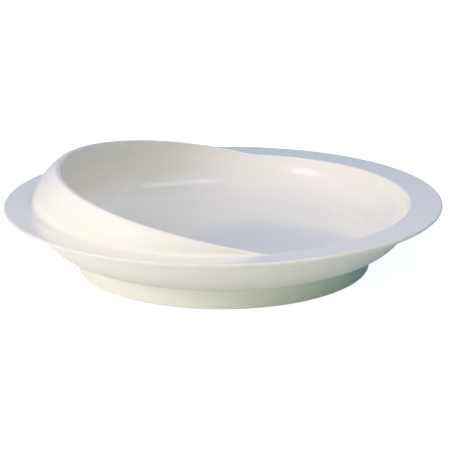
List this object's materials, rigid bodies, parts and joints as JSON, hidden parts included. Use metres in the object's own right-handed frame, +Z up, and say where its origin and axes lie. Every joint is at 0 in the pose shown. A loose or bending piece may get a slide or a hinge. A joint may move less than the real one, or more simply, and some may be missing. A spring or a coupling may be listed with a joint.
{
  "type": "scoop plate",
  "caption": "Round dish with a level rim and, on one side, a tall wall that curls in to turn food onto a spoon; it stands on a base ring with a soft non-slip ring.",
  "frame": {"origin": "on the table, under the middle of the round rim", "axes": "+Z up, out of the dish; the highest point of the scoop wall is at -X"},
  "size_m": [0.2036, 0.2036, 0.0484],
  "materials": {
    "ivory_plastic": "glossy, moulded",
    "base_plastic": "semi-gloss, moulded",
    "grip_rubber": "matt, soft"
  },
  "bodies": {
    "root": {"plate": "ivory_plastic", "base_ring": "base_plastic", "grip_ring": "grip_rubber"}
  },
  "joints": []
}
